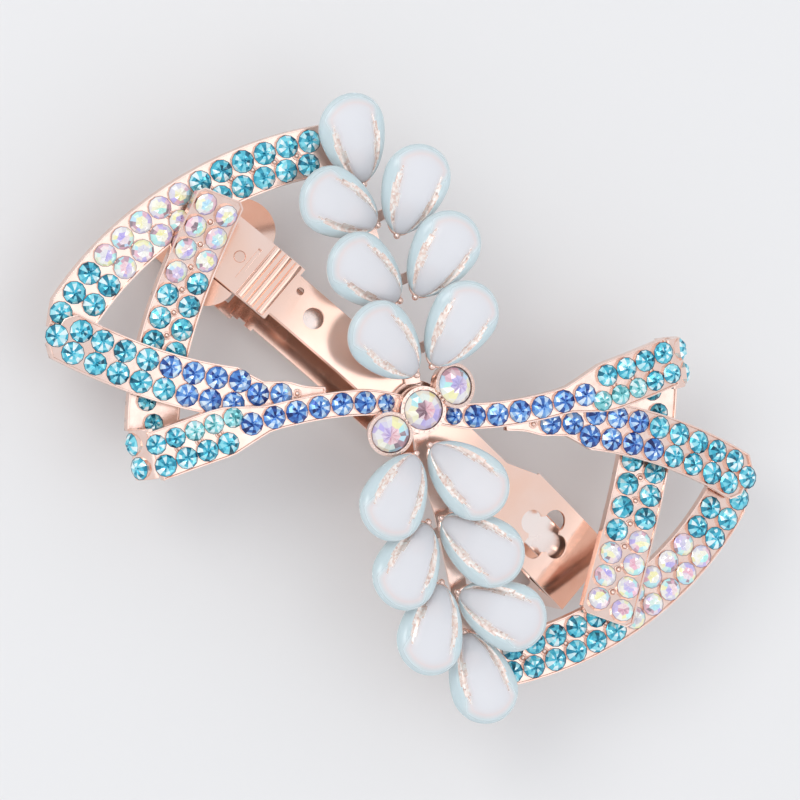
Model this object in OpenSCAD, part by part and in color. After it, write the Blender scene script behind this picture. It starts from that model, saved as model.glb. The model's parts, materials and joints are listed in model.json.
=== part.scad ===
// Rhinestone bow hair clip: a folded-ribbon bow set with stones, a wheat-ear spray of
// glass petals, three centre crystals, and a sprung barrette clip underneath.
// Millimetres. +Z up, the clip's feet stand at z = 0, the half-turn symmetry axis of the bow is Z,
// and the long axis of the bow lies along X.

/* [Bow] */
// Thickness of the cast ribbons
cast_t = 1; // [0.8:0.1:1.2]
// Half width of a ribbon with two rows of stones
wide_half = 2.9; // [2.8:0.1:3]
// Half width of a ribbon with one row of stones
slim_half = 1.5; // [1.4:0.1:1.6]

/* [Stones] */
// Diameter of a ribbon stone
stone_d = 2.6; // [2.4:0.1:2.7]
// Distance from one stone to the next along a row
pitch = 2.76; // [2.72:0.01:2.8]
// Distance of each row from the middle of a two-row ribbon
row_off = 1.32; // [1.31:0.01:1.4]
// Diameter of the middle centre crystal
crystal_d = 4.6; // [4.2:0.1:4.8]

/* [Petals] */
// Length of a petal
petal_l = 10.8; // [10.5:0.1:11.2]
// Width of a petal
petal_w = 8; // [7.6:0.1:8.4]
// Thickness of a petal
petal_t = 3.2; // [2.8:0.1:3.3]
// Upward tilt of each petal's tip
petal_tilt = 12; // [11:0.5:14]

/* [Clip] */
// Angle of the clip across the bow, from +X to its catch end
clip_angle = 129.7; // [125:0.1:135]
// Half length of the base plate
plate_half = 31; // [30:0.5:32]
// Radius that the base plate and the arm are arched to
arch_r = 84; // [80:1:90]
// Thickness of the base plate
plate_t = 0.6; // [0.5:0.1:0.8]
// Thickness of the locking arm
arm_t = 0.7; // [0.6:0.1:0.8]
// Clear height between base plate and locking arm
hair_gap = 7; // [6.8:0.1:7.2]
// Diameter of the hinge pin
pin_d = 1.2; // [1:0.1:1.3]

/* [Hidden] */
$fn = 48;
eps = 0.01;
running = 0.05;                     // radial clearance of the arm on its pin
stone_lift = 0.4;                   // cast surface lies this far under the stone line
stone_sink = 0.25;                  // how deep a stone sits in the cast
stone_r = stone_d / 2;
small_r = 1.15;                     // radius of the light stones on the inner ribbon
back_half = wide_half + 0.2;        // half width of the inner ribbon behind the bow
back_off = row_off + 0.16;          // its rows, from its middle
corner_cut = 0.7;                   // how far the free end of that ribbon is narrowed
lug_r = 1.3;                        // round foot of each hinge ear, which stands on the table
pin_u = -(plate_half - 1.5);
pin_z = lug_r;
arm_z = pin_z + 0.55 + arch_drop(pin_u);    // top of the locking arm at mid length
plate_z = arm_z + hair_gap + plate_t;       // top of the base plate at mid length
deck_h = plate_z + 0.6;                     // stone line of the ribbons at the centre
bar_u = -(plate_half - 3.4);                // pin of the tension bar
bar_z = plate_z - arch_drop(bar_u) - plate_t - 0.9;
bar_slope = 1.8;                            // how far the tension bar falls away from the plate
latch_u = plate_half - 4.5;                 // middle of the catch
side_at = [4, 1.95];                        // middle of a side crystal
side_tilt = 16;                             // how far it leans outwards
side_r = crystal_d * 0.475;                 // its radius
cup_z = deck_h + 0.65;                      // foot of the crystals' cups
fold_x = -31.3;                             // axis of the fold of the inner ribbon
fold_r = 2.15;                              // outer radius of the fold
tab_shift = 1.9;                            // thumb tabs sit this far on towards the plate's end
lever_v = 3.05;                             // distance of each catch leg from the middle
lever_drop = plate_t + 0.55;                // catch legs' pivot below the plate's top

// Middle lines of the left ribbons, as four Bezier points in plan
line_a = [[-4.4, 31], [-18, 31.5], [-31.5, 25.6], [-39.3, 15.2]];
line_b = [[-40.2, 15.6], [-33, 9.8], [-22, 3.9], [-10.5, 4]];
line_c = [[-2.2, 1], [-10, 3.2], [-19, 2.4], [-31.8, -0.2]];
line_d = [[-19.3, 28.1], [-23, 21.5], [-28.9, 12], [-30.4, 2.4]];

// Petals of the upper half: x, y, height above the stone line, heading
petal_names = ["tip", "outer_left", "outer_right", "middle_left", "middle_right", "inner_left",
               "inner_right"];
petal_seats = [[-2.9, 32, 0.1, 98], [-6.2, 24.8, 1.35, 146], [2.7, 25.2, 1.85, 65],
               [-4.5, 16.7, 2.3, 135], [4.6, 17.3, 2.75, 52], [-3.6, 8.5, 3.35, 128],
               [5.2, 9.1, 3.6, 51]];

// ---- heights of the arched sheets, above the table ----
function arch_drop(u) = arch_r - sqrt(arch_r * arch_r - u * u);
function z_outer_upper(x) = deck_h - 2 - 2.6 * pow((abs(x) - 8) / 31, 2);
function z_outer_lower(x) = deck_h - 3.7 * pow(abs(x) / 40, 4);
function z_inner_front(x) = deck_h + 1.2 - 1.3 * pow(abs(x) / 31, 4);
function z_inner_back(y) = deck_h - 4.2 + 3.5 * pow((y - 5) / 21.3, 2);
function z_branch(y) = deck_h + 0.5 - 2.6 * pow(y / 31, 2);
fold_z = z_inner_front(fold_x) - stone_lift - fold_r;

// ---- plan curves ----
function bez(p, t) = pow(1 - t, 3) * p[0] + 3 * pow(1 - t, 2) * t * p[1]
                     + 3 * (1 - t) * t * t * p[2] + t * t * t * p[3];
function bez_dir(p, t) =
    let (d = bez(p, min(1, t + 0.01)) - bez(p, max(0, t - 0.01))) d / norm(d);
function beside(p, t, off) = let (d = bez_dir(p, t)) bez(p, t) + off * [-d[1], d[0]];
function side_line(p, off, n = 40) = [for (i = [0:n]) beside(p, i / n, off)];
function run(q) = [for (i = 0, s = 0; i < len(q);
                        s = i + 1 < len(q) ? s + norm(q[i + 1] - q[i]) : s, i = i + 1) s];
function at_run(q, s, d) = [lookup(d, [for (i = [0:len(q) - 1]) [s[i], q[i][0]]]),
                            lookup(d, [for (i = [0:len(q) - 1]) [s[i], q[i][1]]])];
// Places of stones along a line beside a ribbon's middle: first at start, then every pitch
function row(p, off, start, picks) =
    let (q = side_line(p, off), s = run(q)) [for (i = picks) at_run(q, s, start + i * pitch)];

// Half widths along the ribbons, for t from 0 to 1
function width_a(t) = t < 0.93 ? wide_half : wide_half - 1.2 * (t - 0.93) / 0.07;
function width_b(t) = t < 0.04 ? 1.7 + (wide_half - 1.7) * t / 0.04
                    : t < 0.68 ? wide_half
                    : t < 0.78 ? wide_half + (slim_half - wide_half) * (t - 0.68) / 0.1
                    : t < 0.87 ? slim_half
                    : t < 0.93 ? slim_half + (0.8 - slim_half) * (t - 0.87) / 0.06
                    : 0.8 - 0.45 * (t - 0.93) / 0.07;
function width_c(t) = t < 0.6 ? 1.1 + (slim_half - 1.1) * min(1, t / 0.15)
                    : t < 0.76 ? slim_half + (wide_half - slim_half) * (t - 0.6) / 0.16
                    : wide_half;
function width_d(t) = t == 0 ? back_half - corner_cut : back_half;
function outline(p, widths) =
    let (n = len(widths) - 1)
    concat([for (i = [0:n]) beside(p, i / n, widths[i])],
           [for (i = [n:-1:0]) beside(p, i / n, -widths[i])]);

// ---- building blocks ----
module half_turn() { rotate([0, 0, 180]) children(); }

// Sheet of cast metal, arched over x or over y, under a list of heights [[place, top], ...]
module sheet(tops, thick, along_y = false) {
    under = [for (i = [len(tops) - 1:-1:0]) [tops[i][0], tops[i][1] - thick]];
    rotate([0, 0, along_y ? 90 : 0]) rotate([90, 0, 0])
        linear_extrude(height = 120, center = true) polygon(concat(tops, under));
}

module cut_band(points) {
    intersection() {
        linear_extrude(height = 60) polygon(points);
        children();
    }
}

module stone(r) {
    translate([0, 0, -stone_lift - stone_sink]) cylinder(r = r, h = stone_sink + 0.45);
    translate([0, 0, 0.05 - eps]) cylinder(r1 = r, r2 = r * 0.6, h = 0.42);
}

// Stone on a sheet arched over x, tilted to the sheet
module stone_over_x(p, z0, z1, r = stone_r) {
    translate([p[0], p[1], z0]) rotate([0, -atan2(z1 - z0, 0.1), 0]) stone(r);
}

module bead(p, z) { translate([p[0], p[1], z - stone_lift]) sphere(r = 0.34, $fn = 24); }

module stones_a(off, start, picks) {
    for (p = row(line_a, off, start, picks))
        stone_over_x(p, z_outer_upper(p[0]), z_outer_upper(p[0] + 0.1));
}
module stones_b(off, start, picks) {
    for (p = row(line_b, off, start, picks))
        stone_over_x(p, z_outer_lower(p[0]), z_outer_lower(p[0] + 0.1));
}
module stones_c(off, start, picks, r = stone_r) {
    for (p = row(line_c, off, start, picks))
        stone_over_x(p, z_inner_front(p[0]), z_inner_front(p[0] + 0.1), r);
}
module stones_d(off, start, picks, r = stone_r) {
    for (p = row(line_d, off, start, picks))
        translate([p[0], p[1], z_inner_back(p[1])])
            rotate([atan2(z_inner_back(p[1] + 0.1) - z_inner_back(p[1]), 0.1), 0, 0])
                stone(r);
}
// Stones on the outside of the fold, at angles above the horizontal
module stones_fold(y, angles) {
    for (a = angles)
        translate([fold_x, y, fold_z]) rotate([0, -90 + a, 0])
            translate([0, 0, fold_r + stone_lift]) stone(stone_r);
}

// ---- the left ribbons ----
module outer_ribbon_upper() {
    cut_band(outline(line_a, [for (i = [0:28]) width_a(i / 28)]))
        sheet([for (x = [-44:2:-4]) [x, z_outer_upper(x) - stone_lift]], cast_t);
}
module outer_ribbon_lower() {
    cut_band(outline(line_b, [for (i = [0:50]) width_b(i / 50)]))
        sheet([for (x = [-46:2:-8]) [x, z_outer_lower(x) - stone_lift]], cast_t);
}
module corner_joint() {
    corner = bez(line_b, 0.04);
    low = z_outer_upper(corner[0]) - stone_lift;
    translate([corner[0] + 0.2, corner[1] + 0.3, low - 0.1])
        cylinder(r = 1.5, h = z_outer_lower(corner[0]) - stone_lift - cast_t - low + 0.3);
}
module inner_ribbon_front() {
    cut_band(outline(line_c, [for (i = [0:28]) width_c(i / 28)]))
        sheet([for (x = [-34:2:-2]) [x, z_inner_front(x) - stone_lift]], cast_t);
}
module inner_ribbon_fold() {
    translate([fold_x - 0.3, 0.2, fold_z]) rotate([90, 0, 0]) difference() {
        cylinder(r = fold_r, h = 2 * wide_half, center = true);
        cylinder(r = fold_r - cast_t, h = 2 * wide_half + 1, center = true);
        translate([fold_r / 2 + eps, 0, 0])
            cube([fold_r + 2 * eps, 2 * fold_r + 1, 2 * wide_half + 1], center = true);
    }
}
module inner_ribbon_back() {
    cut_band(outline(line_d, [for (i = [0:36]) width_d(i / 36)]))
        sheet([for (y = [0:2:32]) [y, z_inner_back(y) - stone_lift]], cast_t, true);
    // solder stud from the free end down to the outer ribbon
    stud = bez(line_d, 0.02);
    low = z_outer_upper(stud[0]) - stone_lift - 0.1;
    translate([stud[0] - 0.9, stud[1] - 0.1, low])
        cylinder(r = 0.8, h = z_inner_back(stud[1]) - stone_lift - 0.5 - low);
}

// ---- the left stones, by colour ----
first_a = 3.2;                      // first stone of the outer ribbon, from the spray
first_c = 20.6;                     // first stone of the inner ribbon's two-row part
close = 0.85;                       // spacing of its light stones, in pitches
near = 0.92;                        // spacing of the stones beside them, in pitches
first_d = 1.7;                      // first stone of the inner ribbon behind, from its free end
stagger = 0.4;                      // how far the second row of stones is set on
module aqua_stones() {
    stones_a(-row_off, first_a, [0:5]);
    stones_a(-row_off, first_a, [11:13]);
    stones_a(row_off, first_a + stagger, [0:4]);
    stones_a(row_off, first_a + stagger, [10:11]);
    stones_b(-0.4, 0.25, [0]);
    stones_b(row_off, 2.28, [0]);
    stones_b(row_off, 4.9, [0:2]);
    stones_b(-row_off, 2.75, [0:4]);
    stones_c(-row_off, first_c, [3 * close, 4 * close], small_r);
    stones_c(row_off, first_c + 0.3, [for (i = [0:3]) i * near], 1.25);
    stones_d(back_off, first_d + stagger, [3:7]);
    stones_d(-back_off, first_d, [4:7]);
    stones_d(-0.95, 25.1, [0], 1.1);
    stones_d(0, 27.3, [0], 1.1);
    stones_fold(-1.3, [28]);
    stones_fold(1.5, [12]);
}
module sapphire_stones() {
    stones_b(row_off, 4.9, [3:6]);
    stones_b(-row_off, 2.75, [5:7]);
    stones_b(0, 24.3, [0:1]);
    stones_c(0, 1.8, [0], 1);
    stones_c(0, 1.6, [1:6]);
}
module seafoam_stones() { stones_c(-row_off, first_c, [0, close, 2 * close], small_r); }
module aurora_stones() {
    stones_a(-row_off, first_a, [6:10]);
    stones_a(row_off, first_a + stagger, [6:9]);
    stones_d(back_off, first_d + stagger, [0:2]);
    stones_d(-back_off, first_d, [0:3]);
}
module prong_beads() {
    for (p = row(line_a, 0, first_a + 1.6, [0:11])) bead(p, z_outer_upper(p[0]));
    for (p = row(line_b, 0, 5.2, [0:6])) bead(p, z_outer_lower(p[0]));
    for (p = row(line_b, 0, 29.1, [0])) bead(p, z_outer_lower(p[0]));
    for (p = row(line_c, 0, 22, [0, 0.9, 1.8])) bead(p, z_inner_front(p[0]));
    for (p = row(line_d, 0, first_d + 1.6, [0:7])) bead(p, z_inner_back(p[1]));
}

// ---- centre ----
module at_side(s) {
    translate([s * side_at[0], s * side_at[1], cup_z + 0.3])
        rotate([0, 0, atan2(side_at[1], side_at[0])]) rotate([0, s * side_tilt, 0]) children();
}
module crystal(r) {
    cylinder(r = r, h = 0.6);
    translate([0, 0, 0.6 - eps]) cylinder(r1 = r, r2 = r * 0.55, h = 1);
}
module cup(r, h) {
    difference() {
        cylinder(r = r + 0.45, h = h);
        translate([0, 0, h - 0.8]) cylinder(r = r + running, h = 1);
    }
}
module centre_setting() color("#e9b9a0") {
    difference() {
        union() {
            translate([0, 0, cup_z]) cup(crystal_d / 2, 1.7);
            for (s = [-1, 1]) difference() {
                at_side(s) cup(side_r, 1.3);
                translate([0, 0, cup_z - 1]) cylinder(r = crystal_d / 2 + 0.4, h = 6);
            }
        }
        for (s = [-1, 1]) at_side(s) translate([0, 0, 0.5]) cylinder(r = side_r + running, h = 3);
    }
}
module centre_saddle() color("#d9a089") {
    translate([0, 0, plate_z - 0.05]) cylinder(r = 3.3, h = 0.5);
    translate([0, 0, plate_z]) cylinder(r = 1.9, h = cup_z - plate_z);
}
module centre_crystal() color("#f2eef6")
    translate([0, 0, cup_z + 0.9]) crystal(crystal_d / 2);
module left_crystal() color("#f2eef6") side_crystal(-1);
module right_crystal() color("#f2eef6") side_crystal(1);
module side_crystal(s) {
    difference() {
        at_side(s) translate([0, 0, 0.5]) crystal(side_r);
        translate([0, 0, cup_z - 1]) cylinder(r = crystal_d / 2 + 0.5, h = 6);
    }
}

// ---- spray of petals ----
module at_petal(i) {
    s = petal_seats[i];
    translate([s[0], s[1], deck_h + s[2]]) rotate([0, 0, s[3]]) rotate([0, -petal_tilt, 0])
        children();
}
// Egg outline with a round tip and a narrower base, between two shallow domes
module petal() {
    big = petal_w / 2;
    far = petal_l / 2 - big;
    rim = 0.4;
    rise = petal_t / 2 - rim;
    dome_r = (pow(petal_l / 2, 2) + rise * rise) / (2 * rise);
    intersection() {
        linear_extrude(height = petal_t, center = true) {
            translate([far, 0]) circle(r = big);
            polygon([[far, big], [far - big * 0.37, big * 0.93], [-petal_l / 4 - 0.6, 2.6],
                     [-petal_l / 2 + 0.5, 1.3], [-petal_l / 2, 0], [-petal_l / 2 + 0.5, -1.3],
                     [-petal_l / 4 - 0.6, -2.6], [far - big * 0.37, -big * 0.93], [far, -big]]);
        }
        translate([0, 0, petal_t / 2 - dome_r]) sphere(r = dome_r, $fn = 128);
        translate([0, 0, dome_r - petal_t / 2]) sphere(r = dome_r, $fn = 128);
    }
}
module spray_branch() color("#e3ab93") {
    spine = [[0.9, 2.8], [0.9, 5], [-0.4, 12], [-1.2, 20], [-2.2, 31.5],
             [-4.2, 31.5], [-3.2, 20], [-2.2, 12], [-0.9, 5], [-0.9, 2.8]];
    cut_band(spine) sheet([for (y = [0:3:33]) [y, z_branch(y) - 0.5]], 0.5, true);
    // a post under each petal, from the spine or from its own side twig
    for (i = [0:6]) {
        s = petal_seats[i];
        foot = [s[0] - 2.2 * cos(s[3]), s[1] - 2.2 * sin(s[3])];
        top = deck_h + s[2] - petal_t / 2 + 0.6;
        low = z_branch(foot[1]) - 1;
        translate([foot[0], foot[1], low]) cylinder(r = 0.8, h = top - low);
        stem = [-3.2 * foot[1] / 31.5, foot[1] - 1.2];
        twig = foot - stem;
        translate([stem[0], stem[1], low]) rotate([0, 0, atan2(twig[1], twig[0])])
            translate([0, -0.6, 0]) cube([norm(twig), 1.2, 0.5]);
    }
}

// ---- clip, drawn along +X from its hinge to its catch, then turned across the bow ----
module clip_frame() { rotate([0, 0, clip_angle]) children(); }

// Part of an arched plate with its top at z on the middle line
module arched(z, thick) {
    intersection() {
        translate([0, 0, z - arch_r]) rotate([90, 0, 0]) difference() {
            cylinder(r = arch_r, h = 40, center = true, $fn = 180);
            cylinder(r = arch_r - thick, h = 41, center = true, $fn = 180);
        }
        linear_extrude(height = 40) children();
    }
}
// Frame of the plate's top surface at u: X along the plate, Z square to it
module on_plate(u) {
    translate([0, 0, plate_z - arch_r]) rotate([0, asin(u / arch_r), 0])
        translate([0, 0, arch_r]) children();
}
module cross_pin(u, z, r, h) {
    translate([u, 0, z]) rotate([90, 0, 0]) cylinder(r = r, h = h, center = true);
}
module plate_outline() {
    translate([-14, -2.8]) square([38, 5.6]);
    translate([-plate_half, -4.6]) square([14, 9.2]);
    polygon([[-17.5, -4.6], [-13, -2.8], [-13, 2.8], [-17.5, 4.6]]);
    translate([20, -3.7]) square([plate_half - 20, 7.4]);
}
module plate_window() {
    translate([-22.6, 0]) {
        circle(r = 2.1);
        for (s = [-1, 1]) {
            translate([s * 2.3, 0]) circle(r = 1.4);
            translate([0, s * 1.9]) circle(r = 1.4);
        }
    }
}
module base_plate() color("#e9b097") clip_frame() {
    difference() {
        union() {
            arched(plate_z, plate_t) plate_outline();
            // edges turned down along the slim middle
            for (s = [-1, 1]) arched(plate_z - plate_t + eps, 0.7)
                translate([-13, s * 2.55 - 0.25]) square([33, 0.5]);
            // pressed round ribs beside the catch
            for (u = [20.9, 22.35, 23.8]) on_plate(u) cross_pin(0, -0.22, 0.55, 7.2);
            for (s = [-1, 1]) translate([0, s * 4.25, 0]) lug();
        }
        translate([0, 0, -1]) linear_extrude(height = 40) plate_window();
        on_plate(15.8) cylinder(r = 1.25, h = 4, center = true);
        // pin hole beside the ribs, and a slot between them and the catch
        on_plate(18.9) translate([0, -1.4, 0]) cylinder(r = 0.45, h = 4, center = true);
        on_plate(25.25) cube([0.45, 4.4, 4], center = true);
        on_plate(latch_u) cylinder(r = 0.7, h = 4, center = true);
        cross_pin(pin_u, pin_z, pin_d / 2, 20);
        cross_pin(bar_u, bar_z, 0.4, 20);
    }
}
// One ear of the hinge, folded down from the plate
module lug() {
    top = plate_z - arch_drop(pin_u) - plate_t + 0.1;
    rotate([90, 0, 0]) linear_extrude(height = 0.7, center = true) {
        polygon([[pin_u - lug_r, pin_z], [pin_u + lug_r, pin_z], [bar_u + 1.4, bar_z - 0.8],
                 [bar_u + 2.4, top + 0.5], [-plate_half, top - 0.3], [-plate_half, top - 2.5]]);
        translate([pin_u, pin_z]) circle(r = lug_r);
    }
}
module hinge_pin() color("#d9d2cc") clip_frame() {
    cross_pin(pin_u, pin_z, pin_d / 2, 9.4);
    for (s = [-1, 1]) translate([0, s * 4.8, 0]) cross_pin(pin_u, pin_z, 0.9, 0.35);
}
module tension_bar_pin() color("#d9d2cc") clip_frame() cross_pin(bar_u, bar_z, 0.4, 9);

module catch_bracket() color("#e0a58c") clip_frame() on_plate(latch_u) difference() {
    translate([-2, -2.7, -plate_t - 0.65]) cube([4, 5.4, 0.55]);
    cylinder(r = 0.7, h = 4, center = true);
}
module catch_rivet() color("#d9d2cc") clip_frame() on_plate(latch_u) {
    translate([0, 0, -1.5]) cylinder(r = 0.7, h = 1.47);
    translate([0, 0, -1.6]) cylinder(r = 1.1, h = 0.3);
}
// One leg of the catch on side s: pivot at the top, hook at the foot, half-round thumb tab
module catch_lever(s) {
    leg = hair_gap + plate_t + arm_t + 0.6 - lever_drop;
    clip_frame() on_plate(latch_u) translate([0, s * lever_v, -lever_drop]) {
        translate([-1.6, -0.25, -leg]) cube([3.2, 0.5, leg]);
        rotate([0, 90, 0]) cylinder(r = 0.3, h = 3.2, center = true);
        translate([-1.3, s > 0 ? 0.2 : -0.6, -leg]) cube([2.6, 0.4, 0.6]);
        // thumb tab, sloping down and outwards from the leg
        translate([tab_shift, s * 0.2, -2.4]) rotate([-s * 16, 0, 0]) intersection() {
            cylinder(r = 3.8, h = 0.5);
            translate([-5, s > 0 ? 0 : -5, -1]) cube([10, 5, 3]);
        }
    }
}
module catch_lever_left() color("#f0c3ae") catch_lever(-1);
module catch_lever_right() color("#f0c3ae") catch_lever(1);

module locking_arm() color("#f0c3ae") clip_frame() difference() {
    union() {
        arched(arm_z, arm_t) {
            translate([pin_u + 1.2, -3.4]) square([12, 6.8]);
            translate([-18, -4.2]) square([40, 8.4]);
            translate([21, -5]) square([11, 10]);
        }
        cross_pin(pin_u, pin_z, 1.15, 7);
        translate([pin_u, -3.4, pin_z + 0.35]) cube([2.4, 6.8, 0.7]);
        for (u = [18.4, 20.4], s = [-1, 1]) arched(arm_z + 0.25, 0.3)
            translate([u, s * 3.9 - 0.7]) square([1, 1.4]);
    }
    cross_pin(pin_u, pin_z, pin_d / 2 + running, 20);
    // window that the two catch legs reach through
    on_plate(latch_u) translate([-2, -3.75, -12]) cube([4, 7.5, 8]);
}
// Spring strip between plate and arm, rolled round its own pin, sloping away towards the catch
module tension_bar() color("#e6ddd6") clip_frame() difference() {
    translate([bar_u, 0, bar_z]) rotate([0, bar_slope, 0]) translate([-bar_u, 0, -bar_z]) {
        arched(bar_z + arch_drop(bar_u) + 0.25, 0.45) translate([bar_u + 0.3, -2]) square([50, 4]);
        cross_pin(bar_u, bar_z, 0.75, 6.6);
    }
    cross_pin(bar_u, bar_z, 0.4 + running, 20);
}

module left_outer_ribbon_upper() color("#f2d3c4") outer_ribbon_upper();
module left_outer_ribbon_lower() color("#f2d3c4") outer_ribbon_lower();
module left_corner_joint() color("#e3ab93") corner_joint();
module left_inner_ribbon_front() color("#f2d3c4") inner_ribbon_front();
module left_inner_ribbon_fold() color("#e9b9a0") inner_ribbon_fold();
module left_inner_ribbon_back() color("#e9b9a0") inner_ribbon_back();
module left_aqua_stones() color("#5fbed7") aqua_stones();
module left_sapphire_stones() color("#4f7fd0") sapphire_stones();
module left_seafoam_stones() color("#96d7d7") seafoam_stones();
module left_aurora_stones() color("#eee6f0") aurora_stones();
module left_prong_beads() color("#d99f88") prong_beads();
module right_outer_ribbon_upper() half_turn() left_outer_ribbon_upper();
module right_outer_ribbon_lower() half_turn() left_outer_ribbon_lower();
module right_corner_joint() half_turn() left_corner_joint();
module right_inner_ribbon_front() half_turn() left_inner_ribbon_front();
module right_inner_ribbon_fold() half_turn() left_inner_ribbon_fold();
module right_inner_ribbon_back() half_turn() left_inner_ribbon_back();
module right_aqua_stones() half_turn() left_aqua_stones();
module right_sapphire_stones() half_turn() left_sapphire_stones();
module right_seafoam_stones() half_turn() left_seafoam_stones();
module right_aurora_stones() half_turn() left_aurora_stones();
module right_prong_beads() half_turn() left_prong_beads();
module upper_spray_branch() spray_branch();
module lower_spray_branch() half_turn() spray_branch();

left_outer_ribbon_upper();
left_outer_ribbon_lower();
left_corner_joint();
left_inner_ribbon_front();
left_inner_ribbon_fold();
left_inner_ribbon_back();
left_aqua_stones();
left_sapphire_stones();
left_seafoam_stones();
left_aurora_stones();
left_prong_beads();
right_outer_ribbon_upper();
right_outer_ribbon_lower();
right_corner_joint();
right_inner_ribbon_front();
right_inner_ribbon_fold();
right_inner_ribbon_back();
right_aqua_stones();
right_sapphire_stones();
right_seafoam_stones();
right_aurora_stones();
right_prong_beads();
centre_setting();
centre_saddle();
centre_crystal();
left_crystal();
right_crystal();
upper_spray_branch();
lower_spray_branch();
for (i = [0:6]) {
    color("#dfe8f0") at_petal(i) petal();
    color("#dfe8f0") half_turn() at_petal(i) petal();
}
base_plate();
hinge_pin();
catch_bracket();
catch_rivet();
catch_lever_left();
catch_lever_right();
locking_arm();
tension_bar();
tension_bar_pin();
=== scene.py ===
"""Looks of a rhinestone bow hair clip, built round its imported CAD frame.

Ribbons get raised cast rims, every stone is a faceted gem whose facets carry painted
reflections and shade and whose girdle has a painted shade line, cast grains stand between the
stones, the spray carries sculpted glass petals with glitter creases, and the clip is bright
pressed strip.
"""

import json
import logging
import math
import random
from dataclasses import dataclass, field
from enum import Enum
from typing import Callable, Iterable, Sequence

import bpy
import numpy as np
from mathutils import Matrix, Vector

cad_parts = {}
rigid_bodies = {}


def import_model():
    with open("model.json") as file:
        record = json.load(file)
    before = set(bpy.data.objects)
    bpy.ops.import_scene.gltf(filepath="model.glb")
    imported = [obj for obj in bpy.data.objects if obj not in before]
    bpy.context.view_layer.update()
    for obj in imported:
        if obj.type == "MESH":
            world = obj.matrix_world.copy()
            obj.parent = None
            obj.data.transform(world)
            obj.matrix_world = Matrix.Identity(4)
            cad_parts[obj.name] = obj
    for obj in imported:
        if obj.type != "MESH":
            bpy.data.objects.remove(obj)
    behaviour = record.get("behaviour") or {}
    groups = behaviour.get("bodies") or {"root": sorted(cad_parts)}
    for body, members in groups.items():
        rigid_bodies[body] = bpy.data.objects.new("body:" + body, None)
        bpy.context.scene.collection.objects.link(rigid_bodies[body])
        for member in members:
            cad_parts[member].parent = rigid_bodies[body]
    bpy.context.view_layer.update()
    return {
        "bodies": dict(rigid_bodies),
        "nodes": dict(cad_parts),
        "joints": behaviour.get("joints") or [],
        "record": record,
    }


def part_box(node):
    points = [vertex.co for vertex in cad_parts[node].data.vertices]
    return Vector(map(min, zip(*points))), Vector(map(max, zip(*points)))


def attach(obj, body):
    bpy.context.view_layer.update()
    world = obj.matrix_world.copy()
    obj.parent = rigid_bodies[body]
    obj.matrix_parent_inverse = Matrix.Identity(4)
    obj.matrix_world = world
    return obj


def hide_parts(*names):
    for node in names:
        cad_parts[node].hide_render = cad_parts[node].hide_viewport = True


MM = 0.001
log = logging.getLogger("hair_clip")

Colour = tuple[float, float, float]
Stop = tuple[float, Colour]
Piece = bpy.types.Object


class Metal(Enum):
    """The record's slots of the metal finishes."""

    CAST = "rose_gold_cast"
    STRIP = "rose_gold_strip"
    SPRING = "spring_steel"
    PIN = "pin_steel"


class Stone(Enum):
    """The record's slots of the stones."""

    AQUA = "aqua_stone"
    SAPPHIRE = "sapphire_stone"
    SEAFOAM = "seafoam_stone"
    AURORA = "aurora_stone"


# ---- Work bench: selecting, editing and placing ----


def to_object_mode() -> None:
    """Goes back to object mode."""
    bpy.ops.object.mode_set(mode="OBJECT")


def clear_bench() -> None:
    """Leaves edit mode and deselects everything."""
    if bpy.context.object is not None and bpy.context.object.mode != "OBJECT":
        to_object_mode()
    bpy.ops.object.select_all(action="DESELECT")


def take(piece: Piece) -> Piece:
    """Makes one piece the only selected and active object.

    Args:
        piece: The object to work on.

    Returns:
        The same object.
    """
    clear_bench()
    piece.select_set(True)
    bpy.context.view_layer.objects.active = piece
    return piece


def edit_all(piece: Piece) -> None:
    """Goes into edit mode on one piece with everything selected.

    Args:
        piece: The object to edit.
    """
    take(piece)
    bpy.ops.object.mode_set(mode="EDIT")
    bpy.ops.mesh.select_all(action="SELECT")


def pick_faces(piece: Piece, wanted: Callable[[bpy.types.MeshPolygon], bool]) -> None:
    """Goes into edit mode with only the faces selected that a test accepts.

    Args:
        piece: The object to edit.
        wanted: Test of one polygon.
    """
    take(piece)
    bpy.ops.object.mode_set(mode="EDIT")
    bpy.ops.mesh.select_mode(type="FACE")
    bpy.ops.mesh.select_all(action="DESELECT")
    to_object_mode()
    for face in piece.data.polygons:
        face.select = wanted(face)
    bpy.ops.object.mode_set(mode="EDIT")


def apply_modifier(piece: Piece, kind: str, **values: object) -> None:
    """Adds one modifier, sets it and applies it.

    Args:
        piece: The object to change.
        kind: Blender's modifier type.
        **values: Settings of the modifier.
    """
    take(piece)
    modifier = piece.modifiers.new(kind.title(), kind)
    for key, value in values.items():
        setattr(modifier, key, value)
    bpy.ops.object.modifier_apply(modifier=modifier.name)


def duplicate_mesh(piece: Piece, name: str, place: Matrix) -> Piece:
    """Copies a piece with its own mesh, moved in its mesh, so the object stays at the origin.

    Args:
        piece: The modelled piece.
        name: Name of the copy.
        place: Where the copy goes, in the row frame.

    Returns:
        The copy.
    """
    copy = bpy.data.objects.new(name, piece.data.copy())
    bpy.context.scene.collection.objects.link(copy)
    copy.data.transform(place)
    return copy


def join(pieces: Sequence[Piece], name: str) -> Piece:
    """Joins pieces into one object.

    Args:
        pieces: The objects to join.
        name: Name of the joined object.

    Returns:
        The joined object.
    """
    clear_bench()
    for piece in pieces:
        piece.select_set(True)
    bpy.context.view_layer.objects.active = pieces[0]
    if len(pieces) > 1:
        bpy.ops.object.join()
    joined = bpy.context.view_layer.objects.active
    joined.name = name
    joined.data.name = name
    return joined


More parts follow.
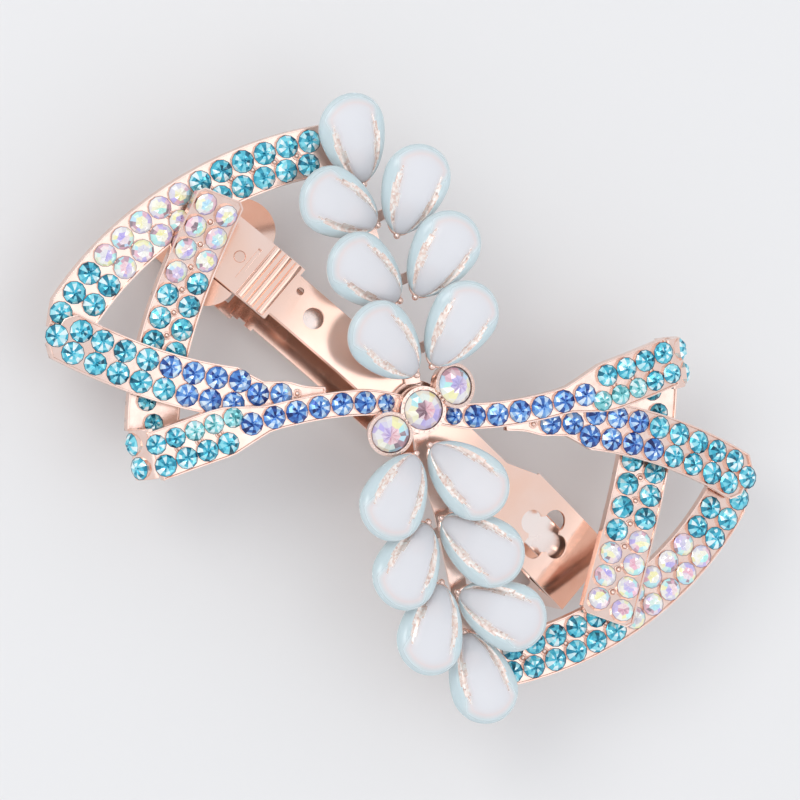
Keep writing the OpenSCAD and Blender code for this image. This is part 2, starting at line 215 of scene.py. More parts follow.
def cad_copy(node: str, name: str) -> Piece:
    """Copies a CAD node's mesh and merges its loose triangles into clean faces.

    Args:
        node: Name of the CAD node.
        name: Name of the copy.

    Returns:
        The copy, with flat regions as single faces.
    """
    source = bpy.data.objects[node]
    copy = bpy.data.objects.new(name, source.data.copy())
    copy.data.materials.clear()
    bpy.context.scene.collection.objects.link(copy)
    edit_all(copy)
    bpy.ops.mesh.remove_doubles(threshold=0.001 * MM)
    bpy.ops.mesh.dissolve_limited(angle_limit=math.radians(0.4), delimit=set())
    to_object_mode()
    return copy


def plan_order(point: Vector) -> tuple[float, float]:
    """Sorting key that puts points in a fixed order, by X and then Y."""
    return round(point.x, 6), round(point.y, 6)


# ---- Finishes ----


def new_material(name: str) -> tuple[bpy.types.Material, bpy.types.Node]:
    """Makes a node material.

    Args:
        name: Name of the material.

    Returns:
        The material and its Principled node.
    """
    material = bpy.data.materials.new(name)
    material.use_nodes = True
    return material, material.node_tree.nodes["Principled BSDF"]


def set_inputs(node: bpy.types.Node, **values: object) -> None:
    """Sets plain values on a node's sockets, with _ for a space in a socket's name."""
    for key, value in values.items():
        if isinstance(value, tuple) and len(value) == 3 and key.endswith("Color"):
            value = (*value, 1.0)
        node.inputs[key.replace("_", " ")].default_value = value


def link(start: bpy.types.Node, output: str | int, end: bpy.types.Node, entry: str | int) -> None:
    """Joins one node's output to another node's input."""
    start.id_data.links.new(start.outputs[output], end.inputs[entry])


def attribute_node(material: bpy.types.Material, name: str) -> bpy.types.Node:
    """Adds a node that reads one of the piece's own attributes."""
    node = material.node_tree.nodes.new("ShaderNodeAttribute")
    node.attribute_name = name
    return node


def bump_node(material: bpy.types.Material, strength: float, depth: float) -> bpy.types.Node:
    """Adds a bump node of a given strength and depth."""
    node = material.node_tree.nodes.new("ShaderNodeBump")
    set_inputs(node, Strength=strength, Distance=depth)
    return node


def object_texture(material: bpy.types.Material, kind: str, **values: float) -> bpy.types.Node:
    """Adds a procedural texture on Object coordinates.

    Args:
        material: The material to add it to.
        kind: Blender's texture node type.
        **values: Plain values of its sockets.

    Returns:
        The texture node.
    """
    nodes = material.node_tree.nodes
    texture = nodes.new(kind)
    where = nodes.new("ShaderNodeTexCoord")
    link(where, "Object", texture, "Vector")
    set_inputs(texture, **values)
    return texture


def ramp(material: bpy.types.Material, stops: Iterable[Stop]) -> bpy.types.Node:
    """Adds a colour ramp.

    Args:
        material: The material to add it to.
        stops: Places and colours along the ramp.

    Returns:
        The ramp node.
    """
    node = material.node_tree.nodes.new("ShaderNodeValToRGB")
    elements = node.color_ramp.elements
    (first, first_colour), *others = stops
    elements.remove(elements[-1])
    elements[0].position = first
    elements[0].color = (*first_colour, 1.0)
    for place, colour in others:
        elements.new(place).color = (*colour, 1.0)
    return node


def even_stops(*colours: Colour) -> tuple[Stop, ...]:
    """Spaces colours evenly along a ramp."""
    return tuple((place / (len(colours) - 1), colour) for place, colour in enumerate(colours))


class PlatingGroup:
    """Shared node group: how plated metal varies in tone, polish and surface."""

    name = "plated_metal"
    detail = 3.0
    polish_spread = 0.12
    dent_depth = 0.1 * MM

    @classmethod
    def tree(cls) -> bpy.types.NodeTree:
        """Builds the group once and returns it."""
        found = bpy.data.node_groups.get(cls.name)
        if found:
            return found
        tree = bpy.data.node_groups.new(cls.name, "ShaderNodeTree")
        face = tree.interface
        for label in ("Scale", "Polish", "Dent"):
            face.new_socket(label, in_out="INPUT", socket_type="NodeSocketFloat")
        for label in ("Pale", "Deep"):
            face.new_socket(label, in_out="INPUT", socket_type="NodeSocketColor")
        face.new_socket("Tone", in_out="OUTPUT", socket_type="NodeSocketColor")
        face.new_socket("Roughness", in_out="OUTPUT", socket_type="NodeSocketFloat")
        face.new_socket("Normal", in_out="OUTPUT", socket_type="NodeSocketVector")
        nodes = tree.nodes
        entry = nodes.new("NodeGroupInput")
        leave = nodes.new("NodeGroupOutput")
        where = nodes.new("ShaderNodeTexCoord")
        noise = nodes.new("ShaderNodeTexNoise")
        noise.inputs["Detail"].default_value = cls.detail
        link(where, "Object", noise, "Vector")
        link(entry, "Scale", noise, "Scale")
        tone = nodes.new("ShaderNodeMix")
        tone.data_type = "RGBA"
        link(noise, "Fac", tone, "Factor")
        link(entry, "Pale", tone, "A")
        link(entry, "Deep", tone, "B")
        link(tone, "Result", leave, "Tone")
        rough = nodes.new("ShaderNodeMath")
        rough.operation = "MULTIPLY_ADD"
        rough.inputs[1].default_value = cls.polish_spread
        link(noise, "Fac", rough, 0)
        link(entry, "Polish", rough, 2)
        link(rough, 0, leave, "Roughness")
        bump = nodes.new("ShaderNodeBump")
        bump.inputs["Distance"].default_value = cls.dent_depth
        link(entry, "Dent", bump, "Strength")
        link(noise, "Fac", bump, "Height")
        link(bump, "Normal", leave, "Normal")
        return tree


class Finish:
    """A material that is built once and then shared."""

    name: str

    def material(self) -> bpy.types.Material:
        """Builds the material once and returns it."""
        found = bpy.data.materials.get(self.name)
        if found is None:
            found, shader = new_material(self.name)
            self.wire(found, shader)
        return found

    def wire(self, material: bpy.types.Material, shader: bpy.types.Node) -> None:
        """Lays out the nodes.

        Args:
            material: The new material.
            shader: Its Principled node.
        """
        raise NotImplementedError


@dataclass(frozen=True)
class PlatedMetal(Finish):
    """Plated metal finish."""

    name: str
    pale: Colour
    deep: Colour
    polish: float
    dent: float
    grain: float

    def wire(self, material: bpy.types.Material, shader: bpy.types.Node) -> None:
        """Lays out the nodes."""
        nodes = material.node_tree.nodes
        group = nodes.new("ShaderNodeGroup")
        group.node_tree = PlatingGroup.tree()
        set_inputs(group, Scale=self.grain, Polish=self.polish, Dent=self.dent)
        group.inputs["Pale"].default_value = (*self.pale, 1.0)
        group.inputs["Deep"].default_value = (*self.deep, 1.0)
        link(group, "Tone", shader, "Base Color")
        link(group, "Roughness", shader, "Roughness")
        link(group, "Normal", shader, "Normal")
        set_inputs(shader, Metallic=1.0)


@dataclass(frozen=True)
class CutGlass(Finish):
    """Foil-backed cut glass, coloured facet by facet with painted reflections and shade."""

    name: str
    stops: tuple[Stop, ...]
    metallic: float

    def wire(self, material: bpy.types.Material, shader: bpy.types.Node) -> None:
        """Lays out the nodes."""
        # The facet value is painted light, so the ramp runs from the stone's painted shade to its
        # painted highlight.
        facet = attribute_node(material, GemCutter.attribute)
        colours = ramp(material, self.stops)
        link(facet, "Fac", colours, "Fac")
        link(colours, "Color", shader, "Base Color")
        set_inputs(shader, Metallic=self.metallic, Roughness=0.14)
        set_inputs(shader, Coat_Weight=0.45, Coat_Roughness=0.03)


@dataclass(frozen=True)
class PetalGlass(Finish):
    """Milky glass whose frosting clears towards the side lobes and the rim, with painted shade
    darkening it towards the root.
    """

    name: str = "petal_milk"
    milky: Colour = (0.91, 0.91, 0.935)
    clear: Colour = (0.72, 0.87, 0.90)
    blush: Colour = (0.94, 0.85, 0.84)

    def wire(self, material: bpy.types.Material, shader: bpy.types.Node) -> None:
        """Lays out the nodes."""
        frost = attribute_node(material, Petal.attribute)
        tone = ramp(
            material,
            ((0.0, self.clear), (0.4, (0.80, 0.90, 0.92)), (0.85, self.blush), (1.0, self.milky)),
        )
        rough = ramp(material, ((0.0, (0.07, 0.07, 0.07)), (0.6, (0.45, 0.45, 0.45))))
        # Painted shade: the glass is darkened towards the petal's root, under the claw and the
        # petals beside it.
        root = attribute_node(material, Petal.root_shade_attribute)
        shade = ramp(material, ((0.0, (0.83, 0.84, 0.85)), (1.0, (1.0, 1.0, 1.0))))
        toned = material.node_tree.nodes.new("ShaderNodeMix")
        toned.data_type = "RGBA"
        toned.blend_type = "MULTIPLY"
        toned.inputs["Factor"].default_value = 1.0
        cloud = object_texture(material, "ShaderNodeTexNoise", Scale=300.0, Detail=2.0)
        bump = bump_node(material, strength=0.05, depth=0.2 * MM)
        link(frost, "Fac", tone, "Fac")
        link(frost, "Fac", rough, "Fac")
        link(root, "Fac", shade, "Fac")
        link(tone, "Color", toned, "A")
        link(shade, "Color", toned, "B")
        link(toned, "Result", shader, "Base Color")
        link(rough, "Color", shader, "Roughness")
        link(cloud, "Fac", bump, "Height")
        link(bump, "Normal", shader, "Normal")
        set_inputs(shader, Transmission_Weight=0.3, IOR=1.45)
        set_inputs(shader, Coat_Weight=0.15, Coat_Roughness=0.12)


@dataclass(frozen=True)
class CreaseGlitter(Finish):
    """Rose-gold and silver glitter in the creases of a petal."""

    name: str = "crease_glitter"

    def wire(self, material: bpy.types.Material, shader: bpy.types.Node) -> None:
        """Lays out the nodes."""
        flakes = object_texture(material, "ShaderNodeTexVoronoi", Scale=4200.0)
        colours = ramp(
            material,
            (
                (0.0, (0.50, 0.36, 0.32)),
                (0.2, (0.80, 0.60, 0.52)),
                (0.5, (0.92, 0.78, 0.70)),
                (0.8, (0.99, 0.97, 0.92)),
            ),
        )
        bump = bump_node(material, strength=0.5, depth=0.15 * MM)
        link(flakes, "Color", colours, "Fac")
        link(colours, "Color", shader, "Base Color")
        link(flakes, "Color", bump, "Height")
        link(bump, "Normal", shader, "Normal")
        set_inputs(shader, Metallic=0.6, Roughness=0.25)


METALS: dict[Metal, PlatedMetal] = {
    Metal.CAST: PlatedMetal(
        "plated_cast",
        pale=(0.96, 0.79, 0.71),
        deep=(0.86, 0.58, 0.48),
        polish=0.16,
        dent=0.3,
        grain=700.0,
    ),
    Metal.STRIP: PlatedMetal(
        "plated_strip",
        pale=(0.99, 0.78, 0.69),
        deep=(0.96, 0.60, 0.45),
        polish=0.10,
        dent=0.06,
        grain=160.0,
    ),
    Metal.SPRING: PlatedMetal(
        "plated_spring",
        pale=(0.95, 0.85, 0.80),
        deep=(0.92, 0.78, 0.71),
        polish=0.20,
        dent=0.08,
        grain=300.0,
    ),
    Metal.PIN: PlatedMetal(
        "plated_pin",
        pale=(0.93, 0.70, 0.60),
        deep=(0.84, 0.56, 0.45),
        polish=0.10,
        dent=0.05,
        grain=300.0,
    ),
}

# Each coloured stone's ramp runs from its painted shade to its painted highlight; the aurora ramp
# is a wheel of hues whose first, dark stop also gives the painted shade at the girdle.
GLASSES: dict[Stone, CutGlass] = {
    Stone.AQUA: CutGlass(
        "aqua_cut",
        even_stops(
            (0.002, 0.06, 0.10),
            (0.01, 0.22, 0.34),
            (0.06, 0.50, 0.66),
            (0.26, 0.78, 0.88),
            (0.86, 1.0, 1.0),
        ),
        metallic=0.45,
    ),
    Stone.SAPPHIRE: CutGlass(
        "sapphire_cut",
        even_stops(
            (0.004, 0.015, 0.11),
            (0.015, 0.06, 0.30),
            (0.07, 0.24, 0.66),
            (0.26, 0.52, 0.90),
            (0.80, 0.92, 1.0),
        ),
        metallic=0.45,
    ),
    Stone.SEAFOAM: CutGlass(
        "seafoam_cut",
        even_stops(
            (0.01, 0.14, 0.16),
            (0.07, 0.38, 0.42),
            (0.25, 0.68, 0.70),
            (0.55, 0.90, 0.90),
            (0.92, 1.0, 0.99),
        ),
        metallic=0.45,
    ),
    Stone.AURORA: CutGlass(
        "aurora_cut",
        (
            (0.0, (0.30, 0.24, 0.27)),
            (0.1, (0.88, 0.52, 0.62)),
            (0.22, (0.94, 0.82, 0.80)),
            (0.34, (0.54, 0.46, 0.86)),
            (0.46, (0.78, 0.76, 0.80)),
            (0.58, (0.96, 0.95, 0.90)),
            (0.7, (0.94, 0.90, 0.46)),
            (0.8, (0.95, 0.93, 0.84)),
            (0.9, (0.50, 0.88, 0.82)),
            (1.0, (0.58, 0.76, 0.96)),
        ),
        metallic=0.15,
    ),
}


def wear(piece: Piece, metal: Metal) -> None:
    """Gives a whole piece one metal finish.

    Args:
        piece: The piece to finish.
        metal: Which metal.
    """
    piece.data.materials.clear()
    piece.data.materials.append(METALS[metal].material())


# ---- Stones ----


LEAST_UP = -0.2
LEAST_CORNERS = 12
ROUNDNESS = 0.06


@dataclass(frozen=True)
class Seat:
    """Where a stone sits: the middle of its flat table, the way it faces and its girdle radius."""

    middle: Vector
    facing: Vector
    radius: float

    def place(self, turn: float, modelled_radius: float) -> Matrix:
        """Matrix that takes a stone modelled at the origin to this seat.

        Args:
            turn: Turn about the stone's own axis, in radians.
            modelled_radius: Girdle radius of the modelled stone.

        Returns:
            The placing matrix.
        """
        size = self.radius / modelled_radius
        grow = Matrix.Diagonal((size, size, 1.0, 1.0))
        lean = self.facing.to_track_quat("Z", "Y").to_matrix().to_4x4()
        return Matrix.Translation(self.middle) @ lean @ Matrix.Rotation(turn, 4, "Z") @ grow


def table_seats(node: str, table_share: float, smallest: float, largest: float) -> list[Seat]:
    """Finds the stones of a CAD node by their flat round tables.

    Args:
        node: Name of the CAD node.
        table_share: Radius of a table over the radius of its stone.
        smallest: Least girdle radius to accept.
        largest: Greatest girdle radius to accept.

    Returns:
        One seat for each table, in a fixed order.
    """
    probe = cad_copy(node, node + "_probe")
    seats = []
    for face in probe.data.polygons:
        if face.normal.z < LEAST_UP or len(face.vertices) < LEAST_CORNERS:
            continue
        points = np.array([probe.data.vertices[i].co for i in face.vertices], float)
        middle = points.mean(0)
        reach = np.linalg.norm(points - middle, axis=1)
        radius = float(reach.mean()) / table_share
        is_round = reach.max() - reach.min() < ROUNDNESS * reach.mean()
        if is_round and smallest <= radius <= largest:
            seats.append(Seat(Vector(middle), face.normal.copy(), radius))
    bpy.data.objects.remove(probe, do_unlink=True)
    return sorted(seats, key=lambda s: plan_order(s.middle))


@dataclass
class GemCutter:
    """Models a round brilliant-cut stone with a painted shade line round its girdle, with its table
    at the origin.
    """

    sides: int = 12
    radius: float = 1.3 * MM
    depth: float = 1.11 * MM
    crown: float = 0.44 * MM
    # Share of the radius taken by the ring at the girdle, which is drawn in the darkest glass
    # colour as a painted shade line.
    girdle_shade_width: float = 0.05
    table: float = 0.56
    star: float = 0.27

    # Face attribute that holds each facet's painted light, from painted shade 0 to painted
    # highlight 1.
    attribute = "facet"
    kite_width = 0.17
    kite_edge = 0.83
    kite_spread = 0.05
    kite_drop = 0.18
    star_spread = 0.28
    nearly = 0.97
    rim_shade_start = 0.88

    def cut(self, name: str) -> Piece:
        """Models the stone.

        Args:
            name: Name of the object.

        Returns:
            The modelled stone, without materials.
        """
        clear_bench()
        wall = self.depth - self.crown
        bpy.ops.mesh.primitive_cylinder_add(
            vertices=self.sides,
            radius=self.radius,
            depth=wall,
            location=(0, 0, -self.crown - wall / 2),
        )
        gem = bpy.context.active_object
        gem.name = name
        bpy.ops.object.transform_apply(location=True, rotation=True, scale=True)
        glass = self.radius * (1 - self.girdle_shade_width)
        self.step_in(gem, self.radius * self.girdle_shade_width, 0.0)
        half_crown = self.crown * 0.5
        self.step_in(gem, glass * self.kite_width, half_crown)
        drop = self.crown * self.kite_drop
        self.zigzag(gem, glass * self.kite_edge, -half_crown, self.kite_spread, drop)
        self.step_in(gem, glass * (self.kite_edge - self.table), half_crown)
        self.step_in(gem, glass * (self.table - self.star), 0.0)
        self.zigzag(gem, glass * self.star, 0.0, self.star_spread, 0.0)
        self.poke(gem)
        return gem

    def pick_top(self, gem: Piece) -> None:
        """Selects the highest face that spans the axis, in edit mode."""
        faces = [f for f in gem.data.polygons if f.normal.z > 0.9 and len(f.vertices) == self.sides]
        top = max(faces, key=lambda f: f.center.z).index
        pick_faces(gem, lambda f: f.index == top)

    def step_in(self, gem: Piece, width: float, rise: float) -> None:
        """Insets the top face by a width, and lifts it.

        Args:
            gem: The stone.
            width: How far the ring reaches in.
            rise: How far the new top face goes up.
        """
        self.pick_top(gem)
        bpy.ops.mesh.inset(thickness=width, use_even_offset=False, use_relative_offset=False)
        if rise:
            bpy.ops.transform.translate(value=(0, 0, rise))
        to_object_mode()

    def zigzag(
        self, gem: Piece, radius: float, z: float, spread: float, lift: float
    ) -> None:
        """Moves every other corner of a ring out and down, and the rest in and up, as kites need.

        Args:
            gem: The stone.
            radius: Radius of the ring.
            z: Height of the ring.
            spread: Share of the radius that a corner moves.
            lift: How far a corner moves up or down.
        """
        off_ring, off_level = 0.03 * self.radius, 0.02 * MM
        for vertex in gem.data.vertices:
            flat = math.hypot(vertex.co.x, vertex.co.y)
            if abs(flat - radius) > off_ring or abs(vertex.co.z - z) > off_level:
                continue
            turn = math.atan2(vertex.co.y, vertex.co.x) / (2 * math.pi) * self.sides
            way = 1 if round(turn) % 2 else -1
            vertex.co.x *= 1 + way * spread
            vertex.co.y *= 1 + way * spread
            vertex.co.z -= way * lift

    def poke(self, gem: Piece) -> None:
        """Splits the star in the middle of the table into wedges."""
        self.pick_top(gem)
        bpy.ops.mesh.poke()
        to_object_mode()

    def dress(self, gem: Piece, glass: Stone, draw: random.Random) -> None:
        """Paints each facet of one stone with its light and shade, the ring at the girdle with
        painted shade, and gives the side wall its metal.

        Args:
            gem: The stone, still at the origin.
            glass: Colour of the stone.
            draw: Seeded source of the facets' variation.
        """
        gem.data.materials.clear()
        gem.data.materials.append(GLASSES[glass].material())
        gem.data.materials.append(METALS[Metal.CAST].material())
        painted_facet_light = gem.data.attributes.new(self.attribute, "FLOAT", "FACE")
        # Direction from which the painted light sweeps across each stone, and of the aurora's hue
        # split.
        lean = draw.uniform(0, 2 * math.pi)
        base = draw.uniform(0.5, 0.66)
        hue = draw.random()
        girdle = self.radius * (1 - self.girdle_shade_width)
        values = []
        for face in gem.data.polygons:
            flat = math.hypot(face.center.x, face.center.y)
            round_it = math.atan2(face.center.y, face.center.x)
            low = face.center.z < -self.crown * self.nearly
            face.material_index = 1 if low and face.normal.z < 0.5 else 0
            face.use_smooth = False
            # The ring at the girdle gets the darkest facet value, a painted shade line; the side
            # wall also matches here but wears the metal, which doesn't read this value.
            if low and flat > girdle * self.nearly:
                values.append(0.0)
            elif glass is Stone.AURORA:
                values.append(self.pastel(flat / self.radius, round_it, lean, hue, draw))
            else:
                values.append(self.shade(flat / self.radius, round_it, lean, base, draw))
        painted_facet_light.data.foreach_set("value", np.array(values, np.float32))

    def shade(
        self, out: float, angle: float, lean: float, base: float, draw: random.Random
    ) -> float:
        """Painted light of one facet of a coloured stone, from painted shade 0 to painted highlight
        1: bright and dark facets as painted reflections of the pavilion, a sweep lighter on one
        side, a painted glint on every third star wedge, and painted shade next to the girdle.
        """
        sector = round((angle / (2 * math.pi)) * self.sides - 0.5)
        # Painted light falling from one side: the stone is lighter where lean points.
        sweep = 0.16 * math.cos(angle - lean)
        # The star wedges are painted darker, with a painted glint on every third one.
        if out < self.star:
            return min(1.0, max(0.0, base - 0.22 + sweep + (0.3 if sector % 3 == 0 else 0.0)))
        # Alternate facets get a painted highlight or painted shade, standing in for the pavilion's
        # reflections.
        flip = 0.22 if sector % 2 else -0.2
        # Painted shade on the facets next to the girdle.
        rim = -0.16 if out > self.rim_shade_start else 0.0
        return min(1.0, max(0.0, base + sweep + flip + rim + draw.uniform(-0.24, 0.3)))

    def pastel(
        self, out: float, angle: float, lean: float, hue: float, draw: random.Random
    ) -> float:
        """Place on the pastel ramp of one facet of an iridescent stone."""
        if out < self.table:
            half = 0.12 if math.cos(angle - lean) > 0.2 else 0.0
            return (hue + half + draw.uniform(-0.02, 0.02)) % 1.0
        sweep = 0.5 + 0.5 * math.sin(angle + lean)
        return (hue + 0.25 + 0.6 * sweep + draw.uniform(-0.08, 0.08)) % 1.0


@dataclass
class StoneSetting:
    """All the ribbon stones of one colour on one wing."""

    wing: str
    glass: Stone
    seed: int
    fullness: float = 1.045
    table_share: float = 0.6
    smallest: float = 0.8 * MM
    largest: float = 1.4 * MM

    def build(self, cutter: GemCutter, model: Piece) -> None:
        """Sets one gem on each seat and joins them.

        Args:
            cutter: The cutter that made the model stone.
            model: The modelled stone.
        """
        node = f"{self.wing}_{self.glass.name.lower()}_stones"
        draw = random.Random(self.seed)
        seats = table_seats(node, self.table_share, self.smallest, self.largest)
        stones = []
        for number, seat in enumerate(seats):
            stone = duplicate_mesh(model, f"{node}_{number}", Matrix.Identity(4))
            cutter.dress(stone, self.glass, draw)
            turn = draw.uniform(0, math.pi)
            stone.data.transform(seat.place(turn, cutter.radius / self.fullness))
            stones.append(stone)
        piece = join(stones, node + "_set")
        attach(piece, "bow")
        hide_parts(node)
        log.info("%s: %d stones, %d faces", piece.name, len(seats), len(piece.data.polygons))


@dataclass
class GrainBeads:
    """The cast grains between the stones: each a small dome in a raised ring."""

    dome: float = 0.33 * MM
    ring: float = 0.46 * MM
    wire: float = 0.09 * MM

    def build(self, node: str) -> None:
        """Sets one grain at each bead of a CAD node.

        Args:
            node: CAD node of one wing's beads.
        """
        model = self.model()
        spots = self.spots(node)
        grains = [
            duplicate_mesh(model, f"{node}_{number}", Matrix.Translation(spot))
            for number, spot in enumerate(spots)
        ]
        bpy.data.objects.remove(model, do_unlink=True)
        piece = join(grains, node + "_grains")
        take(piece)
        bpy.ops.object.shade_smooth()
        wear(piece, Metal.CAST)
        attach(piece, "bow")
        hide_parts(node)
        log.info("%s: %d grains", piece.name, len(spots))

    def spots(self, node: str) -> list[Vector]:
        """Middles of a CAD node's separate beads, in a fixed order."""
        probe = take(cad_copy(node, node + "_probe"))
        bpy.ops.object.mode_set(mode="EDIT")
        bpy.ops.mesh.separate(type="LOOSE")
        to_object_mode()
        parts = list({*bpy.context.selected_objects, probe})
        middles = []
        for part in parts:
            corners = [Vector(corner) for corner in part.bound_box]
            middles.append((corners[0] + corners[6]) / 2)
            bpy.data.objects.remove(part, do_unlink=True)
        return sorted(middles, key=plan_order)

    def model(self) -> Piece:
        """Models one grain at the origin, which is on the cast surface."""
        clear_bench()
        bpy.ops.mesh.primitive_uv_sphere_add(segments=10, ring_count=6, radius=self.dome)
        dome = bpy.context.active_object
        clear_bench()
        bpy.ops.mesh.primitive_torus_add(
            major_radius=self.ring, minor_radius=self.wire, major_segments=14, minor_segments=6
        )
        return join([dome, bpy.context.active_object], "grain_model")


@dataclass
class CentreCrystals:
    """The three iridescent crystals in their beaded cups."""

    cutter: GemCutter = field(
        default_factory=lambda: GemCutter(
            sides=16,
            radius=2.3 * MM,
            depth=1.6 * MM,
            crown=0.95 * MM,
            girdle_shade_width=0.03,
            table=0.5,
            star=0.24,
        )
    )
    table_share: float = 0.55
    smallest: float = 1.8 * MM
    largest: float = 2.5 * MM
    first_seed: int = 40
    first_turn: float = 0.3
    bead: float = 0.2 * MM
    beads_round: int = 26
    bead_gap: float = 0.22 * MM
    bead_drop: float = 0.95 * MM

    def build(self) -> None:
        """Cuts and sets the crystals and beads the cups' rims."""
        model = self.cutter.cut("crystal_model")
        for seed, node in enumerate(("centre_crystal", "left_crystal", "right_crystal")):
            seats = table_seats(node, self.table_share, self.smallest, self.largest)
            seat = max(seats, key=lambda s: s.middle.z)
            stone = duplicate_mesh(model, node + "_cut", Matrix.Identity(4))
            self.cutter.dress(stone, Stone.AURORA, random.Random(self.first_seed + seed))
            stone.data.transform(seat.place(self.first_turn + seed, self.cutter.radius))
            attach(stone, "bow")
            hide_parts(node)
            log.info("%s: %d faces", stone.name, len(stone.data.polygons))
            self.bead_rim(node.replace("crystal", "cup_beads"), seat)
        bpy.data.objects.remove(model, do_unlink=True)

    def bead_rim(self, name: str, seat: Seat) -> None:
        """Lays a ring of small beads round a crystal.

        Args:
            name: Name of the piece.
            seat: Seat of the crystal.
        """
        clear_bench()
        bpy.ops.mesh.primitive_uv_sphere_add(segments=8, ring_count=5, radius=self.bead)
        model = bpy.context.active_object
        apply_modifier(model, "CAST", cast_type="SPHERE", factor=0.2)
        lean = seat.facing.to_track_quat("Z", "Y").to_matrix().to_4x4()
        reach = seat.radius + self.bead_gap
        beads = []
        for number in range(self.beads_round):
            angle = 2 * math.pi * number / self.beads_round
            spot = Vector((reach * math.cos(angle), reach * math.sin(angle), -self.bead_drop))
            place = Matrix.Translation(seat.middle) @ lean @ Matrix.Translation(spot)
            beads.append(duplicate_mesh(model, f"{name}_{number}", place))
        bpy.data.objects.remove(model, do_unlink=True)
        piece = join(beads, name)
        take(piece)
        bpy.ops.object.shade_smooth()
        wear(piece, Metal.CAST)
        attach(piece, "bow")
        log.info("%s: %d beads", piece.name, self.beads_round)


# ---- Ribbons and spray ----


@dataclass
class Ribbon:
    """A cast ribbon with raised rims along its edges."""

    node: str
    rim_width: float = 0.2 * MM
    rim_height: float = 0.3 * MM
    edge: float = 0.05 * MM
    facing_up: float = 0.6

    def build(self) -> None:
        """Raises the rims, rounds the edges and dresses the ribbon."""
        piece = cad_copy(self.node, self.node + "_cast")
        pick_faces(piece, lambda f: f.normal.z > self.facing_up)
        bpy.ops.mesh.inset(
            thickness=self.rim_width,
            use_even_offset=True,
            use_boundary=True,
            use_select_inset=True,
        )
        bpy.ops.mesh.extrude_region_move(TRANSFORM_OT_translate={"value": (0, 0, self.rim_height)})
        to_object_mode()
        finish_edges(piece, self.edge)
        wear(piece, Metal.CAST)
        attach(piece, "bow")
        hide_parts(self.node)
        log.info("%s: %d faces", piece.name, len(piece.data.polygons))


ROUND_FROM = math.radians(35)
SMOOTH_UP_TO = math.radians(40)


def finish_edges(piece: Piece, width: float) -> None:
    """Rounds sharp edges and smooths the rest.

    Args:
        piece: The piece to finish.
        width: Width of the rounding.
    """
    apply_modifier(
        piece,
        "BEVEL",
        width=width,
        segments=2,
        limit_method="ANGLE",
        angle_limit=ROUND_FROM,
        use_clamp_overlap=True,
    )
    take(piece)
    bpy.ops.object.shade_smooth_by_angle(angle=SMOOTH_UP_TO)
    apply_modifier(piece, "WEIGHTED_NORMAL", weight=100, keep_sharp=True)


def strip_piece(node: str, body: str, metal: Metal, width: float) -> Piece:
    """Makes a piece of the clip from its CAD solid, with rounded bright edges.

    Args:
        node: CAD node that it stands for.
        body: CAD body that it rides on.
        metal: Its finish.
        width: Width of the rounding.

    Returns:
        The finished piece.
    """
    piece = cad_copy(node, node + "_plated")
    finish_edges(piece, width)
    wear(piece, metal)
    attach(piece, body)
    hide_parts(node)
    log.info("%s: %d faces on %s", piece.name, len(piece.data.polygons), body)
    return piece


def own_frame(node: str) -> tuple[Matrix, Vector]:
    """Finds a petal's own frame from its CAD surface: X to the round tip, Z out of its face.

    Args:
        node: CAD node of a petal.

    Returns:
        The frame, with its origin at the middle of the petal, and the petal's three sizes.
    """
    mesh = bpy.data.objects[node].data
    mesh.calc_loop_triangles()
    points = np.array([v.co for v in mesh.vertices], float)
    corners = points[np.array([t.vertices[:] for t in mesh.loop_triangles])]
    areas = np.array([t.area for t in mesh.loop_triangles])
    sums = corners.sum(1)
    middle = (sums / 3 * areas[:, None]).sum(0) / areas.sum()
    shifted = corners - middle
    total = shifted.sum(1)
    spread = np.einsum("t,tki,tkj->ij", areas, shifted, shifted)
    spread += np.einsum("t,ti,tj->ij", areas, total, total)
    values, axes = np.linalg.eigh(spread)
    along, facing = axes[:, 2], axes[:, 0]
    reach = (points - middle) @ along
    if reach.max() > -reach.min():
        along = -along
    if facing[2] < 0:
        facing = -facing
    across = np.cross(facing, along)
    turned = np.stack((along, across, facing), 1)
    local = points @ turned
    low, high = local.min(0), local.max(0)
    frame = Matrix(turned.tolist()).to_4x4()
    frame.translation = Vector(turned @ ((low + high) / 2))
    return frame, Vector(high - low)


